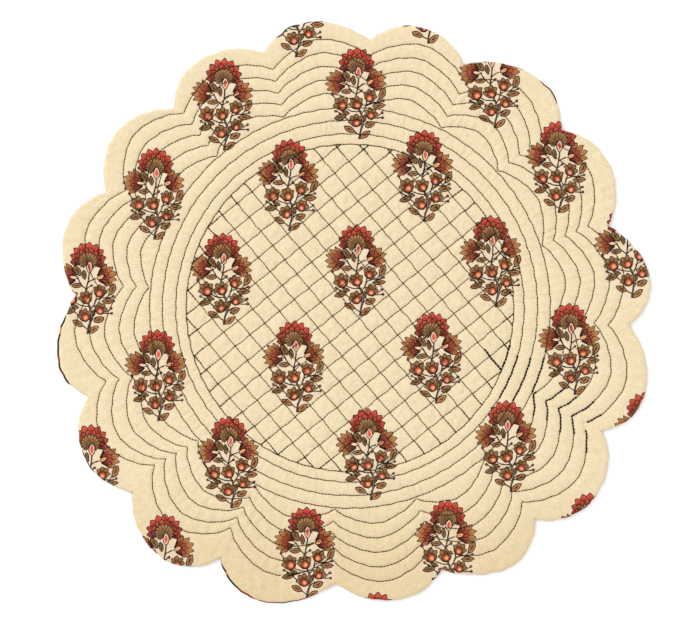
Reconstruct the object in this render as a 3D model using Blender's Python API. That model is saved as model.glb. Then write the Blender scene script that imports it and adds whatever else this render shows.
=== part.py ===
"""Round placemat with a scalloped edge, quilted all over and lying flat.

Metres, +Z up. The backing lies on z = 0, and the middle of the mat's outline is over the origin.
The printed top is one cloth with its hidden wadding, puffed between the lines of quilting.
The backing is a second cloth, turned in at the edge, where it peeks out in a few places.
"""

from collections import namedtuple
import math

import bmesh
import bpy
import numpy as np
from mathutils import Vector
from mathutils.geometry import delaunay_2d_cdt

MM = 0.001

# The layers, from the surface up
BACKING_THICKNESS = 1.0 * MM
LAYER_GAP = 0.3 * MM
TOP_AT_STITCHES = 1.2 * MM
PUFF_RISE = 1.8 * MM
# How far from a line of quilting the wadding reaches its full height
PUFF_REACH = 4.6 * MM

# The mat's middle, seen from the middle of the rings, which are sewn a little off centre
MIDDLE = np.array([1.9, -5.3]) * MM

# The sixteen scallops, anticlockwise from the right, in degrees and millimetres about the rings' middle.
# The notch before a scallop starts at the outer ring (root_deg), passes the outermost echo line
# (echo_deg, echo_notch_r) and ends at the edge (notch_deg, notch_r). The crown is its highest point.
# The edge leans: it stands out by lean before the crown, and in by as much after it.
Scallop = namedtuple(
    "Scallop", "root_deg echo_deg notch_deg echo_notch_r notch_r crown_deg echo_crown_r crown_r lean"
)
SCALLOPS = [
    Scallop(17.5, 18.3, 17.2, 181.2, 195.7, 28.3, 198.7, 213.8, 0.0),
    Scallop(42.7, 41.0, 39.8, 182.5, 199.8, 50.8, 199.4, 213.8, 0.6),
    Scallop(63.1, 63.0, 65.2, 181.8, 193.3, 75.0, 196.4, 209.8, 0.2),
    Scallop(86.0, 86.0, 86.1, 181.8, 193.9, 97.5, 195.3, 208.8, -0.8),
    Scallop(110.1, 108.4, 109.3, 180.9, 195.0, 121.2, 197.1, 211.3, -1.3),
    Scallop(132.4, 131.3, 132.4, 185.8, 192.9, 143.7, 201.5, 212.8, 0.0),
    Scallop(155.0, 153.1, 155.4, 184.6, 197.0, 165.0, 201.2, 216.1, 1.5),
    Scallop(175.1, 175.9, 178.0, 185.4, 202.1, 188.7, 203.2, 216.3, -2.0),
    Scallop(199.0, 197.3, 199.3, 187.7, 204.4, 210.0, 206.6, 225.1, -0.4),
    Scallop(221.4, 219.0, 220.6, 185.3, 210.8, 231.4, 207.4, 231.1, -1.0),
    Scallop(242.0, 241.4, 242.6, 185.1, 208.3, 253.3, 205.1, 225.1, 1.7),
    Scallop(265.1, 265.0, 266.6, 184.7, 204.0, 277.5, 203.2, 218.1, -1.3),
    Scallop(288.2, 288.6, 288.8, 184.7, 204.0, 300.6, 206.7, 223.0, -1.7),
    Scallop(310.4, 310.8, 310.4, 189.7, 206.0, 322.2, 207.7, 227.7, -0.3),
    Scallop(333.9, 332.9, 333.2, 189.7, 204.4, 344.0, 207.7, 223.7, 2.2),
    Scallop(356.0, 355.4, 356.0, 187.4, 203.2, 365.8, 199.8, 218.3, 1.8),
]

# The four rings round the hatched middle, from the inside out, in millimetres
Ring = namedtuple("Ring", "radius shift_x shift_y")
RINGS = [
    Ring(119.6, -0.7, -2.4),
    Ring(127.2, -1.7, -1.9),
    Ring(137.0, -1.4, -2.3),
    Ring(146.3, -2.0, -2.7),
]

# Five echo lines follow the scallops. The first one's notches all but touch the outer ring,
# and its crowns stand over it by this share of the outermost echo line's height.
ECHO_LINES = 5
FIRST_NOTCH_RISE = 1.0 * MM
FIRST_CROWN_SHARE = 0.22

# The diamond hatching: two families of straight lines, and how far each line lies from the
# rings' middle, in millimetres. They were marked by hand, so they are a little uneven.
Hatching = namedtuple("Hatching", "direction_deg offsets")
HATCHINGS = [
    Hatching(38.6, (
        -107.7, -92.3, -78.5, -65.0, -51.8, -38.3, -23.7, -11.0, 2.2,
        16.4, 29.9, 43.4, 56.2, 69.4, 82.9, 95.6, 109.1,
    )),
    Hatching(130.3, (
        -106.6, -92.7, -79.9, -65.3, -51.1, -38.3, -25.2, -11.7, 1.8,
        15.3, 29.2, 43.4, 56.6, 70.4, 84.0, 98.9, 112.8,
    )),
]
HATCH_END_GAP = 1.5 * MM

# The backing stops just inside the edge, but stands out past it in these places
BACKING_INSET = 0.6 * MM
Peek = namedtuple("Peek", "direction_deg half_width_deg reach")
PEEKS = [
    Peek(47.5, 4.0, 1.0),
    Peek(102.0, 3.5, 0.8),
    Peek(188.5, 6.0, 1.0),
    Peek(211.5, 2.5, 0.8),
    Peek(249.0, 7.5, 1.2),
]

EDGE_STEPS = 14
ECHO_STEPS = 10
RING_STEPS = 72
# Points nearer than this to a line of quilting would only make sliver faces
CREST_CLEARANCE = 1.6 * MM

CREAM = (0.86, 0.70, 0.45)
MADDER = (0.24, 0.045, 0.03)
CLOTH_ROUGHNESS = 0.9


def polar(degrees, radius):
    """The point in this direction and at this distance from the rings' middle."""
    turn = math.radians(degrees)
    return radius * np.array([math.cos(turn), math.sin(turn)])


def arc_through(start, crown, end, steps, lean):
    """Points on the circle through start, crown and end, anticlockwise, without the end itself.

    The first half stands out from the circle by up to lean, and the second half in.
    """
    to_crown = crown - start
    to_end = end - start
    squares = np.array([to_crown @ to_crown, to_end @ to_end])
    doubled_area = 2 * (to_crown[0] * to_end[1] - to_crown[1] * to_end[0])
    across = np.array([
        to_end[1] * squares[0] - to_crown[1] * squares[1],
        to_crown[0] * squares[1] - to_end[0] * squares[0],
    ])
    centre = start + across / doubled_area
    radius = np.linalg.norm(start - centre)
    first = math.atan2(start[1] - centre[1], start[0] - centre[0])
    last = math.atan2(end[1] - centre[1], end[0] - centre[0])
    shares = np.arange(steps) / steps
    turns = first + (last - first) % (2 * math.pi) * shares
    reach = radius + lean * np.sin(2 * math.pi * shares)
    return centre + reach[:, None] * np.stack([np.cos(turns), np.sin(turns)], axis=1)


def ring_radius(ring, degrees):
    """How far a ring lies from the rings' middle in this direction."""
    shift = polar(degrees, 1.0) @ np.array([ring.shift_x, ring.shift_y])
    return (ring.radius + shift) * MM


def notch_and_crown(scallop, level):
    """A scallop's notch and crown at a level: 0 the outer ring, 1 to 5 the echo lines, 6 the edge."""
    levels = (0, 1, ECHO_LINES, ECHO_LINES + 1)
    root = ring_radius(RINGS[-1], scallop.root_deg)
    notch_degs = (scallop.root_deg, scallop.root_deg, scallop.echo_deg, scallop.notch_deg)
    notch_radii = (root, root + FIRST_NOTCH_RISE, scallop.echo_notch_r * MM, scallop.notch_r * MM)
    base = ring_radius(RINGS[-1], scallop.crown_deg)
    echo_crown = scallop.echo_crown_r * MM
    first_crown = base + FIRST_CROWN_SHARE * (echo_crown - base)
    crown_radii = (base, first_crown, echo_crown, scallop.crown_r * MM)
    notch = polar(np.interp(level, levels, notch_degs), np.interp(level, levels, notch_radii))
    crown = polar(scallop.crown_deg, np.interp(level, levels, crown_radii))
    return notch, crown


def scalloped_line(level, steps):
    """A closed line of sixteen arcs at this level, each from its notch over its crown to the next."""
    corners = [notch_and_crown(scallop, level) for scallop in SCALLOPS]
    edge_share = max(level - ECHO_LINES, 0)
    arcs = []
    for number, (notch, crown) in enumerate(corners):
        next_notch = corners[(number + 1) % len(corners)][0]
        lean = SCALLOPS[number].lean * MM * edge_share
        arcs.append(arc_through(notch, crown, next_notch, steps, lean))
    return np.concatenate(arcs) - MIDDLE


def ring_line(radius, shift_x, shift_y):
    """A closed circle, in points."""
    turns = np.arange(RING_STEPS) * 2 * math.pi / RING_STEPS
    circle = radius * np.stack([np.cos(turns), np.sin(turns)], axis=1)
    return (circle + (shift_x, shift_y)) * MM - MIDDLE


def hatch_axes(hatching):
    """Unit vectors along a family of hatch lines and across it."""
    along = polar(hatching.direction_deg, 1.0)
    return along, np.array([-along[1], along[0]])


def hatch_lines(hatching):
    """The two ends of each line of one family, cut to the innermost ring."""
    inner = RINGS[0]
    along, across = hatch_axes(hatching)
    ring_centre = np.array([inner.shift_x, inner.shift_y])
    lines = []
    for offset in hatching.offsets:
        foot = along * (ring_centre @ along) + across * offset
        from_centre = offset - ring_centre @ across
        half = math.sqrt(inner.radius**2 - from_centre**2) * MM - HATCH_END_GAP
        lines.append(np.array([foot * MM - along * half, foot * MM + along * half]) - MIDDLE)
    return lines


def cell_centres():
    """The middle of each diamond that lies inside the innermost ring."""
    across = np.array([hatch_axes(hatching)[1] for hatching in HATCHINGS])
    places = []
    for hatching in HATCHINGS:
        lines = np.array(hatching.offsets)
        outermost = (lines[0] - np.diff(lines)[0], lines[-1] + np.diff(lines)[-1])
        lines = np.concatenate([outermost[:1], lines, outermost[1:]])
        places.append((lines[:-1] + lines[1:]) / 2)
    offsets = np.stack(np.meshgrid(*places), axis=-1).reshape(-1, 2)
    points = np.linalg.solve(across, offsets.T).T
    from_ring = RINGS[0].radius - np.linalg.norm(points - (RINGS[0].shift_x, RINGS[0].shift_y), axis=1)
    return points[from_ring > CREST_CLEARANCE / MM] * MM - MIDDLE


def quilting():
    """All lines of sewing, as (points, closed), the edge first."""
    lines = [(scalloped_line(ECHO_LINES + 1, EDGE_STEPS), True)]
    lines += [(scalloped_line(number, ECHO_STEPS), True) for number in range(1, ECHO_LINES + 1)]
    lines += [(ring_line(*ring), True) for ring in RINGS]
    for hatching in HATCHINGS:
        lines += [(line, False) for line in hatch_lines(hatching)]
    return lines


def crests():
    """The lines along the middle of each channel between two lines of sewing, all closed."""
    lines = [scalloped_line(number + 0.5, ECHO_STEPS) for number in range(ECHO_LINES + 1)]
    for inner, outer in zip(RINGS, RINGS[1:]):
        lines.append(ring_line(*(np.array(inner) + outer) / 2))
    return lines


def segments_of(points, closed):
    """The straight steps of a line, as start and end points."""
    ends = np.roll(points, -1, axis=0)
    return (points, ends) if closed else (points[:-1], ends[:-1])


def distance_to(points, starts, ends):
    """How far each point lies from the nearest of these straight steps."""
    steps = ends - starts
    from_start = points[:, None, :] - starts
    shares = (from_start * steps).sum(axis=2) / (steps**2).sum(axis=1)
    feet = from_start - np.clip(shares, 0, 1)[:, :, None] * steps
    return np.linalg.norm(feet, axis=2).min(axis=1)


def puff(distance):
    """How far the top stands over its sewn lines: a quarter circle, level past PUFF_REACH."""
    inwards = 1 - np.clip(distance / PUFF_REACH, 0, 1)
    return PUFF_RISE * np.sqrt(1 - inwards**2)


def quilted_face():
    """(points, triangles) of the top's face: every line of sewing and every crest is an edge of it."""
    sewn = quilting()
    pieces = [segments_of(points, closed) for points, closed in sewn]
    starts = np.concatenate([piece[0] for piece in pieces])
    ends = np.concatenate([piece[1] for piece in pieces])

    corners = []
    edges = []
    for points, closed in sewn:
        numbers = len(corners) + np.arange(len(points))
        corners += list(points)
        edges += list(zip(numbers, np.roll(numbers, -1)))[: None if closed else -1]
    for points in crests():
        clear = distance_to(points, starts, ends) > CREST_CLEARANCE
        numbers = len(corners) + np.cumsum(clear) - 1
        corners += list(points[clear])
        joined = clear & np.roll(clear, -1)
        edges += list(zip(numbers[joined], np.roll(numbers, -1)[joined]))
    centres = cell_centres()
    corners += list(centres[distance_to(centres, starts, ends) > CREST_CLEARANCE])

    edge_face = [list(range(len(sewn[0][0])))]
    flat = [Vector(corner) for corner in corners]
    pairs = [(int(first), int(second)) for first, second in edges]
    made = delaunay_2d_cdt(flat, pairs, edge_face, 1, 1e-7)
    points = np.array(made[0])
    heights = TOP_AT_STITCHES + puff(distance_to(points, starts, ends))
    return np.column_stack([points, heights]), made[2]


def cloth(name, colour):
    """A plain matt cloth material."""
    material = bpy.data.materials.new(name)
    material.use_nodes = True
    shader = material.node_tree.nodes["Principled BSDF"]
    shader.inputs["Base Color"].default_value = (*colour, 1.0)
    shader.inputs["Roughness"].default_value = CLOTH_ROUGHNESS
    shader.inputs["Metallic"].default_value = 0.0
    return material


def make_top(collection):
    """The printed top and its wadding: the quilted face, a straight edge and a flat underside."""
    points, triangles = quilted_face()
    surface = bmesh.new()
    corners = [surface.verts.new(point) for point in points]
    for triangle in triangles:
        surface.faces.new([corners[number] for number in triangle])
    edge = [side for side in surface.edges if side.is_boundary]
    made = bmesh.ops.extrude_edge_only(surface, edges=edge)["geom"]
    for corner in made:
        if isinstance(corner, bmesh.types.BMVert):
            corner.co.z = 0.0
    underside = [side for side in made if isinstance(side, bmesh.types.BMEdge)]
    bmesh.ops.holes_fill(surface, edges=underside, sides=0)
    bmesh.ops.recalc_face_normals(surface, faces=surface.faces)

    mesh = bpy.data.meshes.new("printed_top")
    surface.to_mesh(mesh)
    surface.free()
    mesh.materials.append(cloth("printed_cotton", CREAM))
    top = bpy.data.objects.new("printed_top", mesh)
    top.location.z = BACKING_THICKNESS + LAYER_GAP
    collection.objects.link(top)


def backing_outline():
    """The edge moved in by BACKING_INSET, and out in a smooth swell where the backing peeks."""
    edge = scalloped_line(ECHO_LINES + 1, EDGE_STEPS)
    tangents = np.roll(edge, -1, axis=0) - np.roll(edge, 1, axis=0)
    tangents /= np.linalg.norm(tangents, axis=1)[:, None]
    outwards = np.stack([tangents[:, 1], -tangents[:, 0]], axis=1)
    from_rings = edge + MIDDLE
    degrees = np.degrees(np.arctan2(from_rings[:, 1], from_rings[:, 0]))
    offset = np.full(len(edge), -BACKING_INSET)
    for peek in PEEKS:
        away = (degrees - peek.direction_deg + 180) % 360 - 180
        swell = np.cos(np.clip(away / peek.half_width_deg, -1, 1) * math.pi / 2) ** 2
        offset += swell * (peek.reach * MM + BACKING_INSET)
    return edge + outwards * offset[:, None]


def make_backing(collection):
    """The backing cloth, flat on the surface."""
    outline = backing_outline()
    curve = bpy.data.curves.new("backing", "CURVE")
    curve.dimensions = "2D"
    curve.fill_mode = "BOTH"
    curve.extrude = BACKING_THICKNESS / 2
    spline = curve.splines.new("POLY")
    spline.points.add(len(outline) - 1)
    spline.points.foreach_set("co", np.pad(outline, ((0, 0), (0, 2))).ravel())
    spline.use_cyclic_u = True
    curve.materials.append(cloth("backing_cotton", MADDER))
    backing = bpy.data.objects.new("backing", curve)
    backing.location.z = BACKING_THICKNESS / 2
    collection.objects.link(backing)


for leftover in list(bpy.data.objects):
    bpy.data.objects.remove(leftover)
placemat = bpy.data.collections.new("placemat")
bpy.context.scene.collection.children.link(placemat)
make_top(placemat)
make_backing(placemat)
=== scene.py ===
"""Round quilted placemat with a scalloped edge, printed with flower sprigs, lying flat.

Metres, +Z up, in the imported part's frame. Plans of the quilting are in millimetres about the
middle of its rings. Everything rides on the one body, root.
"""

import math

import bpy
import numpy as np
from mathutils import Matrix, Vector
from mathutils.geometry import delaunay_2d_cdt


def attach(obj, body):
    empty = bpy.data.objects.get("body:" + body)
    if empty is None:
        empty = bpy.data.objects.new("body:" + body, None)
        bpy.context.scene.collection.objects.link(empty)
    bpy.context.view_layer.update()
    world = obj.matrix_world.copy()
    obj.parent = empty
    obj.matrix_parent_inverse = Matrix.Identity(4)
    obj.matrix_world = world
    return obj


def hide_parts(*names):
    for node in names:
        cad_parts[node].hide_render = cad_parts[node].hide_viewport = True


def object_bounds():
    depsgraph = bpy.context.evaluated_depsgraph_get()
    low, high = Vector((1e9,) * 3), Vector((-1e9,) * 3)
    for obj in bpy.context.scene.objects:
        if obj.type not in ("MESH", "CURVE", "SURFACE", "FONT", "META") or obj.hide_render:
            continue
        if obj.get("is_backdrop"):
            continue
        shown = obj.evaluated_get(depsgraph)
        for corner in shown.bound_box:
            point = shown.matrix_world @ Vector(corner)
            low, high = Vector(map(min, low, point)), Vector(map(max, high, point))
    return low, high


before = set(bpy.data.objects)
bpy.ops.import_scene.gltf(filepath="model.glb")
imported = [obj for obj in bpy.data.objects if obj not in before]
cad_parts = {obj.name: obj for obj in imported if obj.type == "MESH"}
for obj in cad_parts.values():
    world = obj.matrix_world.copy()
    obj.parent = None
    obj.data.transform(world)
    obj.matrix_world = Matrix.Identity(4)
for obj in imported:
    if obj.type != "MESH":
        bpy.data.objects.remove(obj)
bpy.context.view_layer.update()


# Shader fields, from which every look here is made, and new materials with their main settings


def set_inputs(tree, node, values):
    """Gives a node's inputs these values, and links those that are fields."""
    for label, value in values.items():
        if isinstance(value, Field):
            tree.links.new(value.socket, node.inputs[label])
        else:
            node.inputs[label].default_value = value


class Field:
    """A number, point or colour that changes over a surface: the output of a shader node.

    Sums, differences, products and quotients of fields, with each other or with plain numbers,
    become nodes of the same tree, in the order they are worked out.
    """

    def __init__(self, tree, socket):
        self.tree = tree
        self.socket = socket

    def made(self, kind, inputs, output=0, **settings):
        """The output of a new node of this kind, with these inputs and settings."""
        node = self.tree.nodes.new("ShaderNode" + kind)
        for setting, value in settings.items():
            setattr(node, setting, value)
        set_inputs(self.tree, node, inputs)
        return Field(self.tree, node.outputs[output])

    def math(self, operation, *others):
        """A Math node, or a Vector Math node for a point or colour."""
        inputs = dict(enumerate((self, *others)))
        if self.socket.type == "VALUE":
            return self.made("Math", inputs, operation=operation)
        output = "Value" if operation in ("LENGTH", "DOT_PRODUCT") else "Vector"
        return self.made("VectorMath", inputs, output, operation=operation)

    def __add__(self, other):
        return self.math("ADD", other)

    def __sub__(self, other):
        return self.math("SUBTRACT", other)

    def __mul__(self, other):
        return self.math("MULTIPLY", other)

    def __truediv__(self, other):
        return self.math("DIVIDE", other)

    def split(self):
        """The two plan coordinates of a point."""
        return self.math("DOT_PRODUCT", (1.0, 0.0, 0.0)), self.math("DOT_PRODUCT", (0.0, 1.0, 0.0))

    def step(self, low, high):
        """0 below low and 1 above high, or the other way round, with a smooth step between."""
        return self.made("MapRange", {0: self, 1: low, 2: high}, interpolation_type="SMOOTHSTEP")

    def blend(self, low, high, **settings):
        """A colour between two, by this share."""
        return self.made("Mix", {0: self, 6: low, 7: high}, 2, data_type="RGBA", **settings)

    def noise(self, scale, detail=2.0, output="Fac"):
        """A cloudy pattern over this point."""
        return self.made("TexNoise", {"Vector": self, "Scale": scale, "Detail": detail}, output)

    def framed(self, middle, axis):
        """How far this point lies from middle along a unit axis, and across it to the left."""
        from_middle = self - middle
        lifted = axis.math("CROSS_PRODUCT", from_middle)
        return from_middle.math("DOT_PRODUCT", axis), lifted.math("DOT_PRODUCT", (0.0, 0.0, 1.0))

    def distance(self, other):
        """The length of the line to a corner this far along and other far across."""
        return (self * self + other * other).math("SQRT")


def new_material(name, finish):
    """(material, tree, shader, place as a field) of a new material with these shader inputs."""
    material = bpy.data.materials.new(name)
    material.use_nodes = True
    tree = material.node_tree
    shader = tree.nodes["Principled BSDF"]
    for label, value in finish.items():
        shader.inputs[label].default_value = value
    return material, tree, shader, Field(tree, tree.nodes.new("ShaderNodeTexCoord").outputs["Object"])


# Camera, light and floor. The camera hangs straight over the mat and takes in 511 mm across.
# A large soft light from the upper left and an even white sky leave only a faint edge shadow.

VIEW_WIDTH = 0.511
LENS_MM = 85.0
SENSOR_MM = 36.0
MAT_FACE = 0.0035
CAMERA_OVER = (-0.0034, 0.0004)
SKY_STRENGTH = 1.07
LIGHT_PLACE = (-3.4, 3.0, 3.6)
LIGHT_SIZE = 1.8
LIGHT_WATTS = 115.0
FLOOR_HALF = 3.0
FLOOR_WHITE = (0.97, 0.97, 0.97, 1.0)


def new_object(name, data):
    """A new object in the scene that shows this data."""
    made = bpy.data.objects.new(name, data)
    bpy.context.scene.collection.objects.link(made)
    return made


camera = bpy.data.cameras.new("camera")
camera.lens = LENS_MM
camera.sensor_width = SENSOR_MM
viewpoint = new_object("camera", camera)
viewpoint.location = (*CAMERA_OVER, VIEW_WIDTH * LENS_MM / SENSOR_MM + MAT_FACE)
bpy.context.scene.camera = viewpoint
bpy.context.scene.view_settings.view_transform = "Standard"

sky = bpy.data.worlds.new("even_sky")
sky.use_nodes = True
sky.node_tree.nodes["Background"].inputs["Color"].default_value = (1.0, 1.0, 1.0, 1.0)
sky.node_tree.nodes["Background"].inputs["Strength"].default_value = SKY_STRENGTH
bpy.context.scene.world = sky

lamp = bpy.data.lights.new("window_light", "AREA")
lamp.size = LIGHT_SIZE
lamp.energy = LIGHT_WATTS
window_light = new_object("window_light", lamp)
window_light.location = LIGHT_PLACE
window_light.rotation_euler = (-Vector(LIGHT_PLACE)).to_track_quat("-Z", "Y").to_euler()


def pale_floor_material():
    """Matt white paint, a touch uneven in gloss."""
    material, tree, shader, place = new_material("pale_floor", {"Base Color": FLOOR_WHITE})
    grain = place.noise(9.0)
    gloss = grain.made("MapRange", {0: grain, 3: 0.85, 4: 0.95})
    tree.links.new(gloss.socket, shader.inputs["Roughness"])
    return material


floor_mesh = bpy.data.meshes.new("floor")
floor_corners = [(-1, -1), (1, -1), (1, 1), (-1, 1)]
floor_mesh.from_pydata(
    [(right * FLOOR_HALF, up * FLOOR_HALF, 0) for right, up in floor_corners], [], [(0, 1, 2, 3)]
)
floor_mesh.materials.append(pale_floor_material())
floor = new_object("floor", floor_mesh)
floor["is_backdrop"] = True


# Printed top: one cloth of cream cotton with thin wadding behind it, block-printed with flower
# sprigs before it was quilted. It puffs up between the lines of sewing, and its edge is turned
# in against the backing.

MM = 0.001
# The mat's middle, seen from the middle of the rings
MIDDLE = np.array([1.9, -5.3])

# The sixteen scallops, anticlockwise from the right, in degrees and millimetres about the
# rings' middle: where the notch before the scallop leaves the outer ring, passes the outermost
# echo line and meets the edge, then its crown there, and how far the edge leans.
SCALLOPS = np.array([
    # root_deg echo_deg notch_deg echo_notch_r notch_r crown_deg echo_crown_r crown_r lean
    (17.5, 18.3, 17.2, 181.2, 195.7, 28.3, 198.7, 214.3, 0.0),
    (42.7, 41.0, 39.8, 182.5, 199.8, 50.8, 199.4, 213.3, 1.0),
    (63.1, 63.0, 65.2, 181.8, 193.3, 75.0, 196.4, 209.0, 0.0),
    (86.0, 86.0, 86.1, 181.8, 193.9, 97.5, 195.3, 208.8, -1.0),
    (110.1, 108.4, 109.3, 180.9, 195.0, 121.2, 197.1, 210.8, -1.0),
    (132.4, 131.3, 132.4, 185.8, 192.9, 143.7, 201.5, 213.3, 0.0),
    (155.0, 153.1, 155.4, 184.6, 197.0, 165.0, 201.2, 216.1, 1.0),
    (175.1, 175.9, 178.0, 185.4, 202.1, 188.7, 203.2, 216.8, -2.0),
    (199.0, 197.3, 199.3, 187.7, 204.4, 210.0, 206.6, 225.1, 0.0),
    (221.4, 219.0, 220.6, 185.3, 210.8, 231.4, 207.4, 231.6, -1.0),
    (242.0, 241.4, 242.6, 185.1, 208.3, 253.3, 205.1, 225.1, 2.0),
    (265.1, 265.0, 266.6, 184.7, 204.0, 277.5, 203.2, 218.1, -1.0),
    (288.2, 288.6, 288.8, 184.7, 204.0, 300.6, 206.7, 223.0, -2.0),
    (310.4, 310.8, 310.4, 189.7, 206.0, 322.2, 207.7, 226.7, 0.0),
    (333.9, 332.9, 333.2, 189.7, 204.4, 344.0, 207.7, 223.2, 2.0),
    (356.0, 355.4, 356.0, 187.4, 203.2, 365.8, 199.8, 217.8, 2.0),
])
ECHO_LINES = 5
# The innermost echo line: how far its notches stand off the outer ring, and how far its crowns
# are on the way to the outermost line's. Halfway to the crown, echo lines are drawn in this much.
FIRST_NOTCH_RISE = 1.0
FIRST_CROWN_SHARE = 0.22
ECHO_NARROWING = 1.0

# The four rings, from the inside out, and how far right and up their middle is shifted
RING_RADII = (119.6, 127.2, 137.0, 146.3)
RING_SHIFT = np.array([-1.5, -2.3])

# The diamond hatching: each family's direction, pitch, and how far its middle line lies off
HATCH_DEGREES = (38.6, 130.3)
HATCH_LINES_EACH_SIDE = 8
HATCH_OFFSETS = tuple(
    middle + pitch * np.arange(-HATCH_LINES_EACH_SIDE, HATCH_LINES_EACH_SIDE + 1)
    for pitch, middle in ((13.5, 2.3), (13.7, 2.4))
)

# Rows of the border: ring 1 is row 0, ring 4 is row 3, echo line 5 is row 8 and the edge row 9
OUTER_RING = 3
LAST_ECHO = OUTER_RING + ECHO_LINES
EDGE_ROW = LAST_ECHO + 1

# Heights over the surface, in millimetres
SEWN_HEIGHT = 2.5
PUFF_RISE = 1.3
FULL_PUFF_REACH = 4.6
# Powers below one make a puff rise steeply from its line of sewing and stay full in the middle
BORDER_FULLNESS = 0.65
CENTRE_FULLNESS = 0.6
EDGE_HEIGHT = 1.35
EDGE_ROUND = 3.0
UNDERSIDE_HEIGHT = 1.1
PUCKER = 0.28
# The edge wobbles by waves round the mat: count, phase and height
EDGE_WAVES = [(23, 0.4, 0.18), (37, 2.1, 0.16), (58, 4.0, 0.12), (83, 1.3, 0.1), (121, 5.2, 0.08)]
# Tucks: how many waves make them, how far those may slant, and how many run across the cloth
PUCKER_WAVES = 18
PUCKER_SLOPE = 2.4
BORDER_TUCKS = (110, 230)
CENTRE_TUCKS = (35, 75)
# How far sewing wanders, and the two waves that move a line right and the two that move it up:
# height, turn for each millimetre right and up, and phase
GUIDING = 0.2
GUIDING_WAVES = (
    ((1.0, 0.17, 0.62, 0.4), (0.7, 0.83, -0.36, 2.0)),
    ((1.0, 0.58, -0.21, 1.1), (0.7, 0.3, 0.91, 4.2)),
)
# Points of the middle keep this far from ring 1, so that no face there is a sliver
RING_CLEARANCE = 0.9


def polar(degrees, radius):
    """Points in these directions and at these distances from the rings' middle."""
    turns = np.radians(degrees)
    return np.asarray(radius)[..., None] * np.stack([np.cos(turns), np.sin(turns)], axis=-1)


def directions(points):
    """The directions of points from the rings' middle, in degrees."""
    return np.degrees(np.arctan2(points[:, 1], points[:, 0]))


def waves_round(degrees, waves):
    """The sum of some sine waves round the mat, each with its count, phase and height."""
    turns = np.radians(degrees)
    return sum(height * np.sin(count * turns + phase) for count, phase, height in waves)


def ring_radius(ring, degrees):
    """A ring's distance from the rings' middle: its radius and how far it is shifted this way."""
    return RING_RADII[ring] + polar(degrees, np.ones(np.shape(degrees))) @ RING_SHIFT


def from_inner_ring(points):
    """How far points lie inside ring 1, straight out from the rings' middle."""
    return ring_radius(0, directions(points)) - np.linalg.norm(points, axis=1)


def column_degrees(shares):
    """Directions across each scallop's root, from its notch (share 0) to the next (share 1)."""
    roots = SCALLOPS[:, 0]
    next_roots = np.append(roots[1:], roots[0] + 360)
    return roots[:, None] + (next_roots - roots)[:, None] * shares


def notches_and_crowns(level):
    """The scallops' notches and crowns at a level, between the values of the levels on both sides.

    Level 0 is the outer ring, 1 to 5 are the echo lines, and 6 is the edge.
    """
    root, echo, notch, echo_notch_r, notch_r, crown, echo_crown_r, crown_r = SCALLOPS[:, :8].T
    base = ring_radius(OUTER_RING, root)
    crown_base = ring_radius(OUTER_RING, crown)
    first_crown = crown_base + FIRST_CROWN_SHARE * (echo_crown_r - crown_base)
    levels = (0, 1, ECHO_LINES, ECHO_LINES + 1)
    place = np.interp(level, levels, range(len(levels)))
    lower = min(int(place), len(levels) - 2)
    share = place - lower
    notch_degs = np.array([root, root, echo, notch])
    notch_radii = np.array([base, base + FIRST_NOTCH_RISE, echo_notch_r, notch_r])
    crown_radii = np.array([crown_base, first_crown, echo_crown_r, crown_r])

    def between(values):
        return values[lower] * (1 - share) + values[lower + 1] * share

    return polar(between(notch_degs), between(notch_radii)), polar(crown, between(crown_radii))


def border_row(row, shares):
    """Points right round the border on one row: a ring up to row 3, and sixteen arcs beyond it.

    Each arc starts as the circle through its notch, crown and next notch. Halfway to the crown
    it is drawn in a little. The edge leans out before the crown and in after it, and it wobbles.
    """
    degrees = column_degrees(shares)
    if row <= OUTER_RING:
        inner = min(int(row), OUTER_RING - 1)
        part = row - inner
        radius = ring_radius(inner, degrees) * (1 - part) + ring_radius(inner + 1, degrees) * part
        return polar(degrees, radius).reshape(-1, 2)
    level = row - OUTER_RING
    notch, crown = notches_and_crowns(level)
    next_notch = np.roll(notch, -1, axis=0)
    to_crown, to_next = crown - notch, next_notch - notch
    squares = (to_crown**2).sum(axis=1), (to_next**2).sum(axis=1)
    doubled_area = 2 * (to_crown[:, 0] * to_next[:, 1] - to_crown[:, 1] * to_next[:, 0])
    across = np.stack([
        to_next[:, 1] * squares[0] - to_crown[:, 1] * squares[1],
        to_crown[:, 0] * squares[1] - to_next[:, 0] * squares[0],
    ], axis=1)
    centre = notch + across / doubled_area[:, None]
    first = np.arctan2(*(notch - centre).T[::-1])
    last = np.arctan2(*(next_notch - centre).T[::-1])
    turns = first[:, None] + ((last - first) % (2 * math.pi))[:, None] * shares
    beyond = max(level - ECHO_LINES, 0)
    swing = np.sin(2 * math.pi * shares)
    echo_change = -ECHO_NARROWING * swing**2
    edge_change = SCALLOPS[:, 8:] * swing + waves_round(degrees, EDGE_WAVES)
    reach = np.linalg.norm(notch - centre, axis=1)[:, None] + beyond * edge_change
    reach = reach + (min(level, 1) - beyond) * echo_change
    return (centre[:, None] + polar(np.degrees(turns), reach)).reshape(-1, 2)


def puckers(across, along, spread, seed):
    """Small tucks in the cloth: waves of random direction, together about one high.

    Each wave is a sine of both coordinates, and their sum is divided by the root of half their
    number. The count along is a whole number, so the tucks close up where along runs round the
    mat in radians.
    """
    random = np.random.default_rng(seed)
    total = 0
    for _ in range(PUCKER_WAVES):
        count = random.integers(*spread)
        slope = random.uniform(-PUCKER_SLOPE, PUCKER_SLOPE)
        total = total + np.sin(count * along + slope * across + random.uniform(0, 2 * math.pi))
    return total / math.sqrt(PUCKER_WAVES / 2)


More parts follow.
